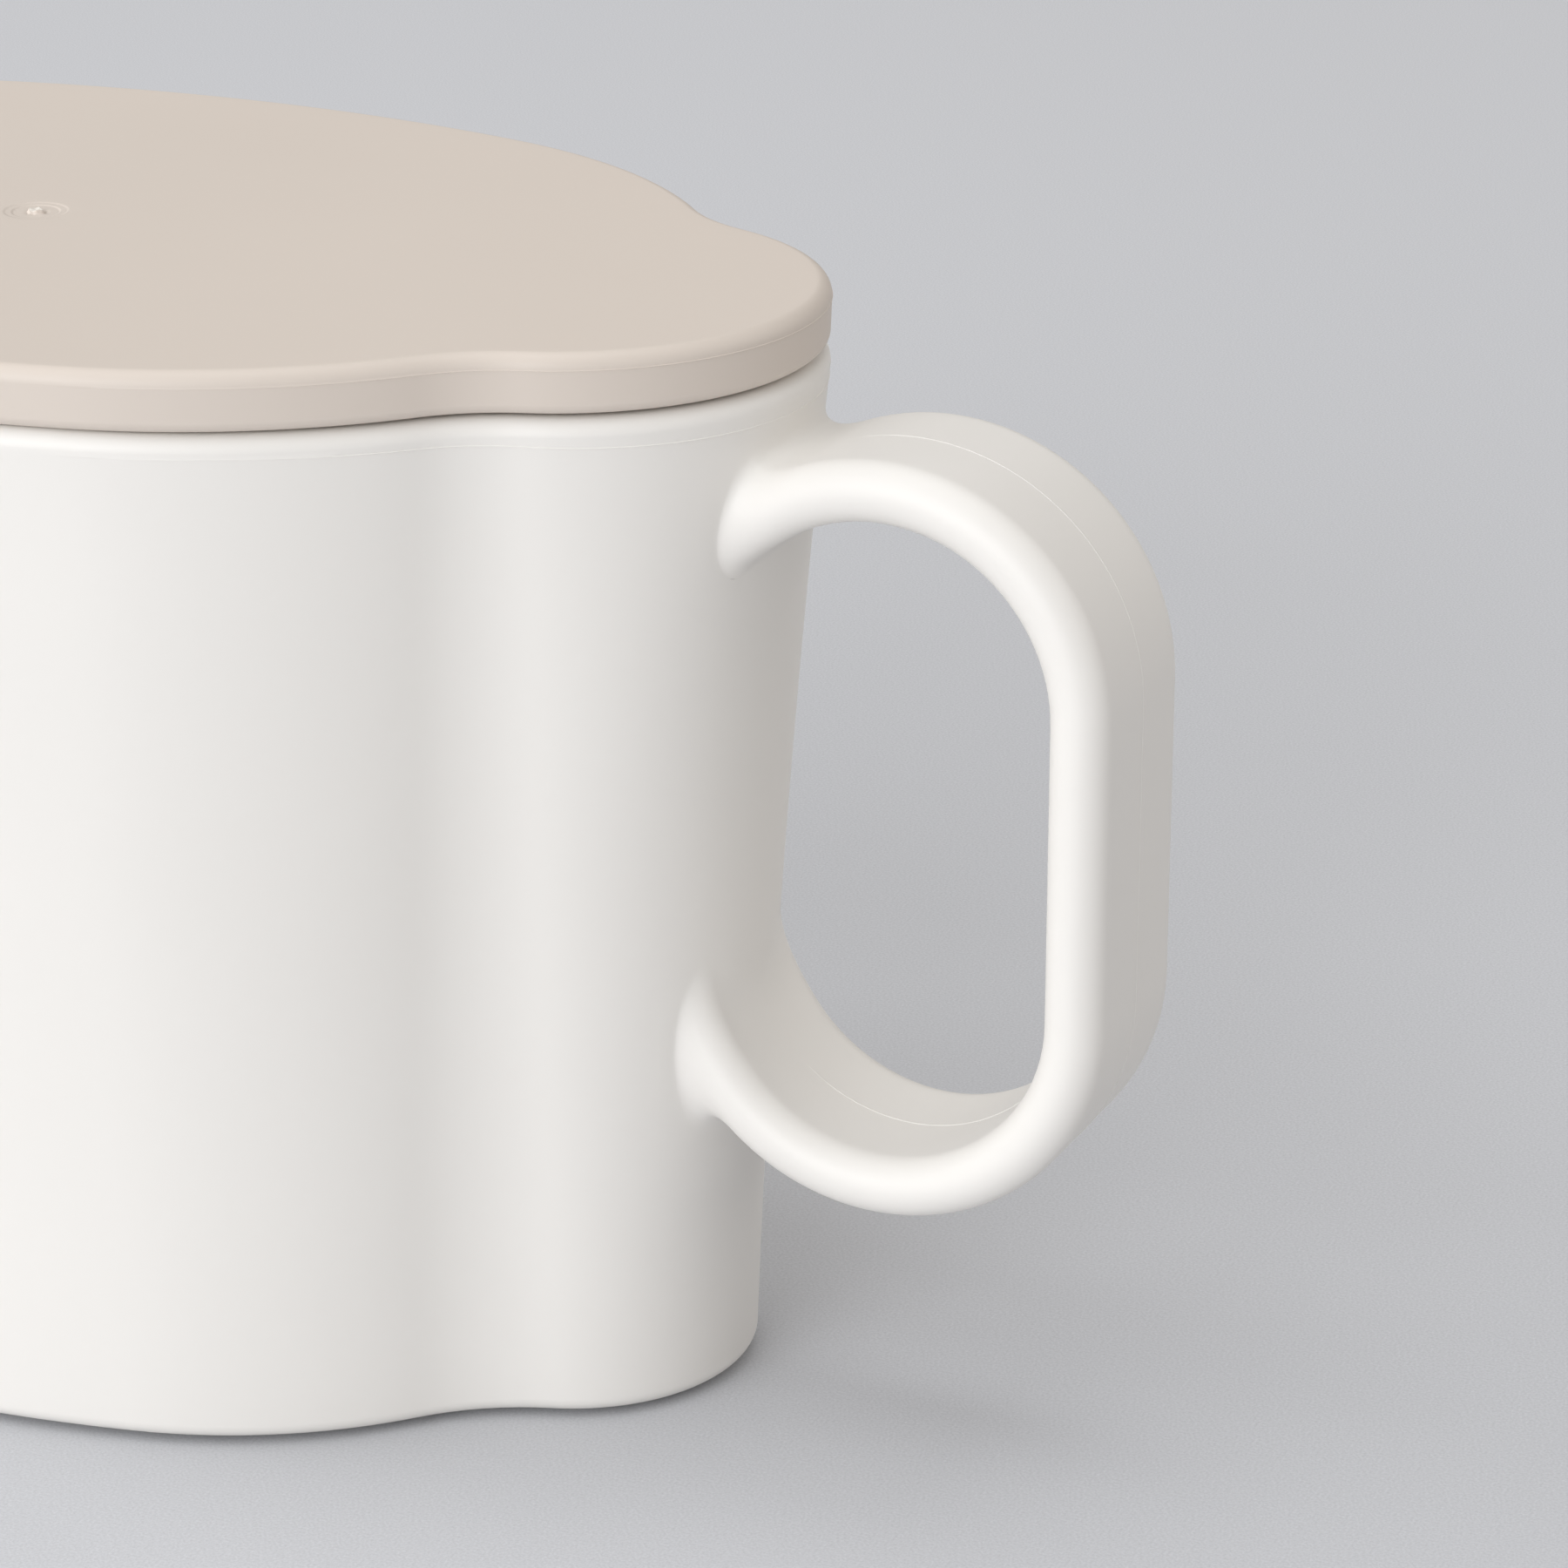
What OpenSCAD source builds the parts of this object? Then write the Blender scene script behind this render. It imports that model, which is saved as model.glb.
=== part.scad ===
// Soup mug: a moulded mug with a lobed plan and a looped handle, and a lid that lifts off.
// Millimetres. The origin is the middle of the cup on the table, +X points to the handle, +Z is up.

/* [Cup outline] */
// Length of the rim from one end lobe to the other
cup_l = 127.4; // [120:0.1:150]
// Width of the rim across its two long bulges
cup_w = 74.8; // [70:0.1:90]
// Radius of a long bulge at mid length
bulge_r = 104; // [80:1:140]
// Radius of the shoulders at the ends of a bulge
shoulder_r = 40.4; // [37:0.1:46]
// Distance of a shoulder's centre from mid length
shoulder_x = 14.3; // [10:0.1:20]
// Radius of the two end lobes
lobe_r = 19.3; // [18:0.1:23]
// Radius of the four hollows between shoulders and lobes
waist_r = 13.4; // [8:0.1:20]

/* [Mug] */
// Height of the mug without its lid
mug_h = 80.2; // [65:0.1:110]
// Thickness of the wall
wall = 2.4; // [2.3:0.1:3]
// Thickness of the floor
floor_t = 2.6; // [2:0.1:4]
// How far the wall leans in from the rim to the table
lean = 5.6; // [3:0.1:7]
// How far the wall bows in at mid height
bow = 0.7; // [0:0.05:1.2]
// Rounding of the outer edge of the base
base_r = 3; // [1.5:0.1:4]
// Rounding between the floor and the inside of the wall
floor_r = 4; // [2:0.1:5]
// Width of the foot ring
foot_w = 3.4; // [2:0.1:5]
// Depth of the hollow inside the foot ring
foot_h = 0.8; // [0.4:0.1:1.5]
// Rounding of the rim's outer edge
rim_r = 1.6; // [0.8:0.1:1.7]
// Rounding of the rim's inner edge
rim_inner_r = 0.4; // [0.2:0.1:0.4]
// Distance of the mould's parting ridge below the rim
seam_drop = 2.6; // [2.2:0.1:5]
// How far the parting ridge stands out
seam_h = 0.12; // [0.05:0.01:0.3]

/* [Lid] */
// Height of the lid's edge
lid_edge = 4.55; // [3.6:0.05:7]
// Thickness of the lid's plate
lid_t = 2.2; // [1.6:0.1:3]
// Rounding of the lid's top edge
lid_r = 1.9; // [0.8:0.1:2.4]
// How far the lid's side leans in below that rounding
lid_lean = 0.3; // [0:0.05:0.6]
// Rounding of the lid's bottom edge
lid_low_r = 0.4; // [0.2:0.1:0.8]
// Gap between the lid and the rim
lid_gap = 0.25; // [0.1:0.05:0.5]
// Depth of the lid's inner ring below the rim
plug_h = 5; // [3:0.1:9]
// Thickness of the lid's inner ring
plug_t = 1.8; // [1.2:0.1:2.6]
// Clearance between the inner ring and the wall
plug_fit = 0.3; // [0.2:0.05:0.8]
// Rounding of the inner ring's lower edge
plug_r = 0.7; // [0.3:0.1:1]
// Diameter of the gate mark's hollow on the lid
gate_d = 4.8; // [3:0.1:8]
// Depth of the gate mark's hollow
gate_h = 0.4; // [0.2:0.05:0.8]
// Diameter of the gate's cut-off stub
stub_d = 1.7; // [1:0.1:2.4]
// Height of the stub
stub_h = 0.3; // [0.1:0.05:0.4]

/* [Handle] */
// Distance from the rim's end to the outer face of the handle
grip_out = 25.9; // [23:0.1:34]
// Width of the handle
grip_w = 16; // [10:0.1:20]
// Thickness of the handle
grip_t = 4.6; // [3.6:0.1:7]
// Bend radius of the handle's middle line
loop_r = 15.2; // [12:0.1:18]
// Distance of the handle's top face below the rim
loop_drop = 3.7; // [3:0.1:10]
// Height of the handle's lowest face above the table
loop_rise = 19; // [10:0.1:24]
// How far the handle's sides spread over the wall
root_side = 1.8; // [1:0.1:3]
// How far its outer face spreads over the wall
root_face = 2.4; // [1:0.1:2.6]
// How far the upper arm's inner face spreads over the wall
root_under = 1.4; // [1:0.1:5]
// How far the lower arm's inner face spreads over the wall
root_over = 4.2; // [1:0.1:5]
// Distance from the wall at which the spread begins
root_run = 3.4; // [2:0.1:5]
// Gap between the handle's roots and the wall
seat_gap = 0.03; // [0.02:0.01:0.1]

/* [Hidden] */
$fn = 96;
white = [0.92, 0.91, 0.89];
beige = [0.83, 0.78, 0.73];

// Counts of steps on the rounded and bowed stretches
round_steps = 6;
wall_steps = 8;
outline_steps = 10;
plug_steps = 3;

// How far a flat plate reaches into the swept edge that carries it
plate_lap = 1.5;

// How far each sweep turns into its neighbours, in degrees: a hair, so that they join into one piece
sweep_lap = 0.000004;

// Centres of the outline's arcs: each arc runs into the next without a corner. The angles where they
// meet are rounded, and the hollow's radius then closes the outline, so that neighbours meet exactly.
bulge_a = tidy_angle(asin(shoulder_x / (bulge_r - shoulder_r)));
bulge_c = [0, cup_w / 2 - bulge_r];
shoulder_c = bulge_c + (bulge_r - shoulder_r) * [sin(bulge_a), cos(bulge_a)];
end_c = [cup_l / 2 - lobe_r, 0];
hollow_c = meet(shoulder_c, shoulder_r + waist_r, end_c, lobe_r + waist_r);
shoulder_a = tidy_angle(heading(shoulder_c, hollow_c));
lobe_a = tidy_angle(heading(end_c, hollow_c));
hollow_r = (shoulder_c.y + shoulder_r * sin(shoulder_a) - lobe_r * sin(lobe_a))
    / (sin(lobe_a) - sin(shoulder_a));
waist_c = shoulder_c + (shoulder_r + hollow_r) * [cos(shoulder_a), sin(shoulder_a)];
lobe_c = [waist_c.x - (lobe_r + hollow_r) * cos(lobe_a), 0];

// Heights
floor_z = foot_h + floor_t;
seam_z = mug_h - seam_drop;
lid_z = mug_h + lid_gap;
lid_top = lid_z + lid_edge;
plug_z = mug_h - plug_h;

// Offsets from the outline at which the swept edges end and the flat plates take over
foot_n = inset(base_r) - base_r - foot_w;
floor_c = [inset(floor_z + floor_r) - wall - floor_r, floor_z + floor_r];
floor_n = min(foot_n, floor_c.x) - 2 * plate_lap;
plug_n = inset(plug_z + plug_r) - wall - plug_fit;
lid_n = plug_n - plug_t - 2 * plate_lap;

// The point on the left of the line from p to q that lies rp from p and rq from q
function meet(p, rp, q, rq) =
    let (
        d = norm(q - p),
        e = (q - p) / d,
        along = (rp * rp - rq * rq + d * d) / (2 * d),
        aside = sqrt(rp * rp - along * along)
    )
    p + along * e + aside * [-e.y, e.x];

// Direction from p to q, in degrees
function heading(p, q) = atan2(q.y - p.y, q.x - p.x);

function tidy_angle(a) = round(a * 1000) / 1000;

// Offset of the wall's outer face from the rim's outline at height z
function inset(z) =
    let (s = 1 - z / mug_h)
    -lean * s - 4 * bow * s * (1 - s);

function arc_points(c, r, from, to, steps) =
    [for (i = [0 : steps]) let (a = from + (to - from) * i / steps) c + r * [cos(a), sin(a)]];

// Points down or up one face of the wall, which lies depth inside the outer face
function wall_points(from, to, depth, steps) =
    [for (i = [0 : steps]) let (z = from + (to - from) * i / steps) [inset(z) - depth, z]];

function after_first(list) = [for (i = [1 : len(list) - 1]) list[i]];

// A quarter of the outline, moved out by n, from the end lobe's tip to the middle of a bulge
function quarter(n) = concat(
    arc_points(lobe_c, lobe_r + n, 0, lobe_a, outline_steps),
    after_first(arc_points(waist_c, hollow_r - n, lobe_a - 180, shoulder_a - 180, outline_steps)),
    after_first(arc_points(shoulder_c, shoulder_r + n, shoulder_a, 90 - bulge_a, outline_steps)),
    after_first(arc_points(bulge_c, bulge_r + n, 90 - bulge_a, 90, outline_steps))
);

function outline(n) =
    let (q = quarter(n), last = len(q) - 1)
    concat(
        q,
        [for (i = [last - 1 : -1 : 0]) [-q[i].x, q[i].y]],
        [for (i = [1 : last]) -q[i]],
        [for (i = [last - 1 : -1 : 1]) [q[i].x, -q[i].y]]
    );

// The outline's arcs, each as centre, radius, and first and last angle. The hollow has a negative
// radius, because it bends the other way.
bulge = [bulge_c, bulge_r, 90 - bulge_a, 90 + bulge_a];
lobe = [lobe_c, lobe_r, -lobe_a, lobe_a];
shoulder = [shoulder_c, shoulder_r, shoulder_a, 90 - bulge_a];
waist = [waist_c, -hollow_r, shoulder_a, lobe_a];
arcs = concat(
    [for (far = [false, true]) mirrored(bulge, false, far)],
    [for (left = [false, true]) mirrored(lobe, left, false)],
    [for (left = [false, true], far = [false, true], arc = [shoulder, waist]) mirrored(arc, left, far)]
);

// An arc moved to the left end of the cup, to its far side, or both
function mirrored(arc, left, far) =
    let (
        c = arc[0],
        a = left ? [180 - arc[3], 180 - arc[2]] : [arc[2], arc[3]],
        b = far ? [-a[1], -a[0]] : a
    )
    [[left ? -c.x : c.x, far ? -c.y : c.y], arc[1], b[0], b[1]];

// Moves its children by v in two steps, a rounded one and the rest, which keeps the place exact
// where numbers are passed on with few digits
module place(v) {
    first = [for (c = v) round(c * 100) / 100];
    translate(first)
        translate(v - first)
            children();
}

// Sweeps a profile round the whole outline: x is the offset from the outline and y the height
module along_outline() {
    for (arc = arcs)
        place(arc[0])
            rotate_extrude(angle = arc[3] - arc[2] + 2 * sweep_lap, start = arc[2] - sweep_lap)
                place([arc[1], 0])
                    children();
}

// Section through the wall, the foot ring and the edge of the floor
module mug_profile() {
    seam_low = seam_z - 2 * seam_h;
    seam_high = seam_z + 2 * seam_h;
    polygon(concat(
        arc_points([inset(base_r) - base_r, base_r], base_r, -90, 0, round_steps),
        after_first(wall_points(base_r, seam_low, 0, wall_steps)),
        [[inset(seam_z) + seam_h, seam_z], [inset(seam_high), seam_high]],
        arc_points([inset(mug_h - rim_r) - rim_r, mug_h - rim_r], rim_r, 0, 90, round_steps),
        arc_points([rim_inner_r - wall, mug_h - rim_inner_r], rim_inner_r, 90, 180, round_steps),
        after_first(wall_points(mug_h - rim_inner_r, floor_c.y, wall, wall_steps)),
        after_first(arc_points(floor_c, floor_r, 0, -90, round_steps)),
        [[floor_n, floor_z], [floor_n, foot_h], [foot_n, foot_h], [foot_n, 0]]
    ));
}

module mug_body() {
    color(white) {
        along_outline() mug_profile();
        translate([0, 0, foot_h])
            linear_extrude(floor_t) polygon(outline(floor_n + plate_lap));
    }
}

// Section through the lid's edge, its inner ring and the edge of its plate
module lid_profile() {
    polygon(concat(
        [[lid_n, lid_top]],
        arc_points([-lid_r, lid_top - lid_r], lid_r, 90, 0, round_steps),
        arc_points([-lid_lean - lid_low_r, lid_z + lid_low_r], lid_low_r, 0, -90, round_steps),
        wall_points(lid_z, plug_z + plug_r, wall + plug_fit, plug_steps),
        after_first(arc_points([plug_n - plug_r, plug_z + plug_r], plug_r, 0, -90, round_steps)),
        [[plug_n - plug_t, plug_z], [plug_n - plug_t, lid_top - lid_t], [lid_n, lid_top - lid_t]]
    ));
}

module lid() {
    color(beige) {
        along_outline() lid_profile();
        difference() {
            translate([0, 0, lid_top - lid_t])
                linear_extrude(lid_t) polygon(outline(lid_n + plate_lap));
            translate([0, 0, lid_top - gate_h])
                cylinder(d = gate_d, h = 2 * gate_h);
        }
        translate([0, 0, lid_top - gate_h])
            cylinder(d = stub_d, h = stub_h);
    }
}

// The handle is one loft along a loop: root, bend, straight bar, bend, root.
end_steps = 8;
flat_steps = 4;
bend_steps = 14;
root_steps = 8;
seat_steps = 5;
bar_x = cup_l / 2 + grip_out - grip_t / 2;
loop_x = bar_x - loop_r;
high_z = mug_h - loop_drop - grip_t / 2 - loop_r;
low_z = loop_rise + grip_t / 2 + loop_r;

// The most that a bend turns before its root runs straight on
bend_most = 150;

// Section of the handle: offsets across its thickness and its width, with round edges
grip_flat = (grip_w - grip_t) / 2;
function flat_points(face) =
    [for (i = [1 : flat_steps - 1]) [face * grip_t / 2, face * grip_flat * (1 - 2 * i / flat_steps)]];
function grip_edge(side) =
    [for (i = [0 : end_steps]) let (a = -90 + 180 * i / end_steps)
        side * [grip_t / 2 * sin(a), grip_flat + grip_t / 2 * cos(a)]];
section = concat(grip_edge(1), flat_points(1), grip_edge(-1), flat_points(-1));

// How far a point of the section moves over the wall as its root spreads. up is 1 for the upper arm
// and -1 for the lower one.
function spread(p, up) =
    let (
        inner = up > 0 ? root_under : root_over,
        nx = p.x / (grip_t / 2),
        ny = (p.y - max(-grip_flat, min(grip_flat, p.y))) / (grip_t / 2)
    )
    [nx * (nx > 0 ? root_face : inner), ny * root_side];

// The wall of the end lobe, at distance y from the middle plane and height z
function wall_x(y, z) =
    lobe_c.x + sqrt(pow(lobe_r + inset(z) + seat_gap, 2) - y * y);

// The angle at which a point of the section leaves its bend, by repeated correction: the wall is then
// root_run away, or the bend has turned the most it may. The bend is about height z.
function bend_end(p, z, up, a = 120, turns = 8) =
    turns == 0 ? a :
    let (
        r = loop_r + p.x,
        reach = (wall_x(p.y, z + up * r * sin(a)) + root_run - loop_x) / r
    )
    bend_end(p, z, up, acos(max(reach, cos(bend_most))), turns - 1);

// A point of the section at an angle of its bend, or dist straight on from there
function bend_point(p, z, up, a, dist = 0) =
    let (r = loop_r + p.x)
    [
        loop_x + r * cos(a) - dist * sin(a),
        p.y,
        z + up * (r * sin(a) + dist * cos(a))
    ];

// How far it is straight on from the end of the bend to the wall, by repeated correction
function run_length(p, z, up, a, dist = 0, turns = 8) =
    turns == 0 ? dist :
    let (q = bend_point(p, z, up, a, dist))
    run_length(p, z, up, a, dist + (q.x - wall_x(q.y, q.z)) / sin(a), turns - 1);

// One point's way over the root: the angle where its bend ends, its height and its distance from the
// wall there, and the height at which it would meet the wall
function root_way(p, z, up) =
    let (
        a = bend_end(p, z, up),
        start = bend_point(p, z, up, a),
        corner = bend_point(p, z, up, a, run_length(p, z, up, a))
    )
    [a, start.z, start.x - wall_x(start.y, start.z), corner.z];

// A ring of the root, from the ends of the bends at t = 0 to the wall at t = 1
function root_ring(ways, up, t) =
    [for (j = [0 : len(section) - 1])
        let (
            way = ways[j],
            left = pow(1 - t, 2),
            out = spread(section[j], up) * pow(t, 2),
            y = section[j].y + out.y,
            z = way[3] + left * (way[1] - way[3]) + up * out.x
        )
        [wall_x(y, z) + left * way[2], y, z]];

// A ring drawn in over the wall toward the seat's middle, by a share from 0 to 1
function seat_ring(ring, share) =
    let (middle = [for (p = ring) 1] * ring / len(ring))
    [for (p = ring)
        let (y = p.y * (1 - share), z = p.z + (middle.z - p.z) * share)
        [wall_x(y, z), y, z]];

// All rings of one half of the loop, from the seat's middle out to the bar
function half_loop(z, up) =
    let (
        ways = [for (p = section) root_way(p, z, up)],
        seat = root_ring(ways, up, 1)
    )
    concat(
        [for (i = [seat_steps - 1 : -1 : 1]) seat_ring(seat, i / seat_steps)],
        [for (i = [root_steps : -1 : 1]) root_ring(ways, up, i / root_steps)],
        [for (i = [bend_steps : -1 : 0])
            [for (j = [0 : len(section) - 1])
                bend_point(section[j], z, up, ways[j][0] * i / bend_steps)]]
    );

function reversed(list) = [for (i = [len(list) - 1 : -1 : 0]) list[i]];

module handle() {
    rings = concat(half_loop(high_z, 1), reversed(half_loop(low_z, -1)));
    n = len(section);
    last = len(rings) - 1;
    sides = [for (k = [0 : last - 1], j = [0 : n - 1], low = [0, 1])
        let (a = k * n + j, b = k * n + (j + 1) % n)
        low ? [a, b + n, a + n] : [a, b, b + n]];
    ends = [reversed([for (j = [0 : n - 1]) j]), [for (j = [0 : n - 1]) last * n + j]];
    color(white)
        polyhedron([for (ring = rings) each ring], concat(sides, ends));
}

mug_body();
handle();
lid();
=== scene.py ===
import math

import bmesh
import bpy
from bpy.props import FloatProperty, FloatVectorProperty, PointerProperty
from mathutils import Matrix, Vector


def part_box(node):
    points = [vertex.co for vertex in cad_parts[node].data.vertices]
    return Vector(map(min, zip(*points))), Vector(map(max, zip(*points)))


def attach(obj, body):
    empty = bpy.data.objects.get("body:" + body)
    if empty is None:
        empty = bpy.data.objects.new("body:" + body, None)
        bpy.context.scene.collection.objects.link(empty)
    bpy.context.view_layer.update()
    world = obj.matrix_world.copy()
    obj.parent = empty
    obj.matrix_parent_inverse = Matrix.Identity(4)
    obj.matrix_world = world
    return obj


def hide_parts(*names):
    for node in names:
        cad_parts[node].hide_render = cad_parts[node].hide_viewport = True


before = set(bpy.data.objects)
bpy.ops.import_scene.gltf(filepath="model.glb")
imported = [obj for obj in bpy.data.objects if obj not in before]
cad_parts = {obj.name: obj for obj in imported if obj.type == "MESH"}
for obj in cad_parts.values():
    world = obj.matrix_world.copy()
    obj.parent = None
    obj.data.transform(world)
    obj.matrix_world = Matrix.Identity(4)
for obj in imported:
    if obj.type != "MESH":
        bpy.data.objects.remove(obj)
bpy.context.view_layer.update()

bl_info = {
    "name": "Soup mug",
    "version": (1, 0, 0),
    "blender": (4, 5, 0),
    "location": "View3D > Sidebar > Soup mug",
    "description": "Models a moulded soup mug with its lid, its two plastics and a small studio",
    "category": "Add Mesh",
}

LID_LOW, LID_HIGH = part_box("lid")
_, MUG_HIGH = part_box("mug_body")
_, GRIP_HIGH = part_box("handle")

# How far the lid's flat top lies below its box, which leaves room for the gate's stub.
TOP_MARGIN = 0.0003

# Height of the ledge under a parting ridge, as a share of how far the ridge stands out.
LEDGE = 0.2


def length(name, description, default):
    return FloatProperty(
        name=name, description=description, default=default, min=0.0, unit="LENGTH", precision=5
    )


def fraction(name, description, default):
    return FloatProperty(
        name=name, description=description, default=default, min=0.0, max=1.0, subtype="FACTOR"
    )


def colour(name, description, default):
    return FloatVectorProperty(
        name=name,
        description=description,
        default=default,
        min=0.0,
        max=1.0,
        size=3,
        subtype="COLOR",
    )


def power(name, description, default):
    return FloatProperty(
        name=name, description=description, default=default, min=0.0, unit="POWER"
    )


class OutlineSizes(bpy.types.PropertyGroup):
    """Plan of the rim: two long bulges, two end lobes and four hollows between them."""

    rim_length: length("Rim length", "From one end lobe to the other", LID_HIGH.x - LID_LOW.x)
    rim_width: length("Rim width", "Across the two long bulges", LID_HIGH.y - LID_LOW.y)
    bulge_radius: length("Bulge radius", "Radius of a long bulge at mid length", 0.104)
    shoulder_radius: length("Shoulder radius", "Radius at the ends of a bulge", 0.0404)
    shoulder_reach: length("Shoulder reach", "From mid length to a shoulder's centre", 0.0143)
    lobe_radius: length("Lobe radius", "Radius of the two end lobes", 0.0193)
    hollow_radius: length("Hollow radius", "Radius between shoulders and lobes", 0.0134)
    ridge_start: length("Ridge start", "From mid length to where the ridges begin", 0.022)
    ridge_full: length("Ridge full", "From mid length to where the ridges stand out in full", 0.046)


class MugSizes(bpy.types.PropertyGroup):
    """Section through the mug's wall, floor and foot."""

    height: length("Height", "Height of the mug without its lid", MUG_HIGH.z)
    wall: length("Wall", "Thickness of the wall", 0.0024)
    floor: length("Floor", "Thickness of the floor", 0.0026)
    lean: length("Lean", "How far the wall leans in from the rim to the table", 0.0056)
    bow: length("Bow", "How far the wall bows in at mid height", 0.0007)
    base_rounding: length("Base rounding", "Rounding of the outer edge of the base", 0.0012)
    base_lift: length("Base lift", "Height of the base's edge above the table", 0.0005)
    floor_rounding: length("Floor rounding", "Rounding between floor and wall, inside", 0.004)
    foot_inset: length("Foot inset", "Distance of the foot ring from the base's edge", 0.0012)
    foot_width: length("Foot width", "Width of the foot ring", 0.0034)
    foot_height: length("Foot height", "Depth of the hollow inside the foot ring", 0.0008)
    foot_bevel: length("Foot bevel", "Bevel of the foot ring's edges", 0.0002)
    rim_rounding: length("Rim rounding", "Rounding of the rim's outer edge", 0.0013)
    rim_inner_rounding: length("Rim inner rounding", "Rounding of the rim's inner edge", 0.0004)
    rim_dip: length("Rim dip", "How far the rim lies lower at the lobes", 0.0002)
    seam_drop: length("Seam drop", "From the rim down to the parting ridge at the lobes", 0.00253)
    seam_climb: length("Seam climb", "How far the ridge climbs towards the bulges", 0.00083)
    seam_run: length("Seam run", "Length over which the parting ridge climbs", 0.03)
    seam_height: length("Seam height", "How far the parting ridge stands out", 0.00006)


class LidSizes(bpy.types.PropertyGroup):
    """Section through the lid's plate, edge and inner ring, and its gate mark."""

    top: length("Top", "Height of the lid's top above the table", LID_HIGH.z - TOP_MARGIN)
    low: length("Low", "Height of the inner ring's lower edge above the table", LID_LOW.z)
    edge: length("Edge", "Height of the lid's edge", 0.0044)
    plate: length("Plate", "Thickness of the lid's plate", 0.0022)
    rounding: length("Rounding", "Rounding of the top edge", 0.0011)
    lean: length("Lean", "How far the side leans in down to the bottom edge", 0.00015)
    low_rounding: length("Low rounding", "Rounding of the bottom edge", 0.0008)
    seam_height: length("Seam height", "How far the parting ridge stands out", 0.00005)
    seam_step: length("Seam step", "How far the side lies behind the parting ridge", 0.00005)
    ring_thickness: length("Ring thickness", "Thickness of the inner ring", 0.0018)
    ring_clearance: length("Ring clearance", "Between the inner ring and the wall", 0.0003)
    ring_rounding: length("Ring rounding", "Rounding of the inner ring's lower edge", 0.0007)
    ring_bevel: length("Ring bevel", "Bevel of the inner ring's other edges", 0.0003)
    gate_radius: length("Gate radius", "Radius of the gate mark's hollow", 0.0024)
    gate_depth: length("Gate depth", "Depth of the gate mark's hollow", 0.00012)
    stub_radius: length("Stub radius", "Radius of the gate's cut-off stub", 0.0006)
    stub_height: length("Stub height", "Height of the stub", 0.00022)


class HandleSizes(bpy.types.PropertyGroup):
    """The looped handle and the way its roots spread over the wall."""

    outer_face: length("Outer face", "From the cup's middle to the outer face", GRIP_HIGH.x)
    width: length("Width", "Width of the band", 0.016)
    thickness: length("Thickness", "Thickness of the band", 0.0046)
    bend_radius: length("Bend radius", "Bend radius of the middle line", 0.0152)
    drop: length("Drop", "Distance of the top face below the rim", 0.0037)
    rise: length("Rise", "Height of the lowest face above the table", 0.019)
    side_spread: length("Side spread", "How far the sides spread over the wall", 0.0006)
    face_spread: length("Face spread", "How far the upper arm spreads up the wall", 0.0024)
    heel_spread: length("Heel spread", "How far the lower arm spreads down the wall", 0.0032)
    under_spread: length("Under spread", "How far the upper arm spreads down the wall", 0.0011)
    over_spread: length("Over spread", "How far the lower arm spreads up the wall", 0.003)
    spread_run: length("Spread run", "From the wall to where the spread begins", 0.0034)
    seam_width: length("Seam width", "Half the width of the parting ridge", 0.00004)
    seam_height: length("Seam height", "How far the parting ridge stands out", 0.000035)


class Finishes(bpy.types.PropertyGroup):
    """Colours and gloss of the two plastics."""

    mug_colour: colour("Mug", "Colour of the mug's plastic", (0.812, 0.788, 0.752))
    mug_roughness: fraction("Mug roughness", "Roughness of the mug's satin finish", 0.46)
    lid_colour: colour("Lid", "Colour of the lid's plastic", (0.652, 0.580, 0.516))
    lid_roughness: fraction("Lid roughness", "Roughness of the lid's matt finish", 0.48)
    stub_colour: colour("Gate stub", "Colour of the freshly cut stub", (0.80, 0.76, 0.70))


class Studio(bpy.types.PropertyGroup):
    """Floor and lights."""

    floor_colour: colour("Floor", "Colour of the paper floor", (0.560, 0.568, 0.592))
    key_power: power("Key", "Power of the soft box in front, above the mug", 12.2)
    front_power: power("Front", "Power of the low soft box in front", 24.9)
    left_power: power("Left", "Power of the low soft box on the left", 26.6)
    top_power: power("Top", "Power of the soft box overhead", 12.24)
    right_power: power("Right", "Power of the weak soft box behind on the right", 7.56)
    back_power: power("Back", "Power of the weak soft box high behind the mug", 4.64)
    air_colour: colour("Air", "Colour of the light from all round", (1.0, 0.964, 0.927))
    ambient: fraction("Ambient", "Strength of the light from all round", 0.366)


class SoupMug(bpy.types.PropertyGroup):
    """All the settings of the soup mug."""

    outline: PointerProperty(type=OutlineSizes)
    mug: PointerProperty(type=MugSizes)
    lid: PointerProperty(type=LidSizes)
    handle: PointerProperty(type=HandleSizes)
    finish: PointerProperty(type=Finishes)
    studio: PointerProperty(type=Studio)


def unit(angle):
    return Vector((math.cos(angle), math.sin(angle)))


def at_height(point, height):
    return Vector((point.x, point.y, height))


def evenly(start, end, steps):
    return [start + (end - start) * i / steps for i in range(steps + 1)]


def arc(centre, radius, start, end, steps):
    """Points of an arc in a section, as (offset, height) pairs."""
    angles = [math.radians(a) for a in evenly(start, end, steps)]
    return [(centre[0] + radius * math.cos(a), centre[1] + radius * math.sin(a)) for a in angles]


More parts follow.
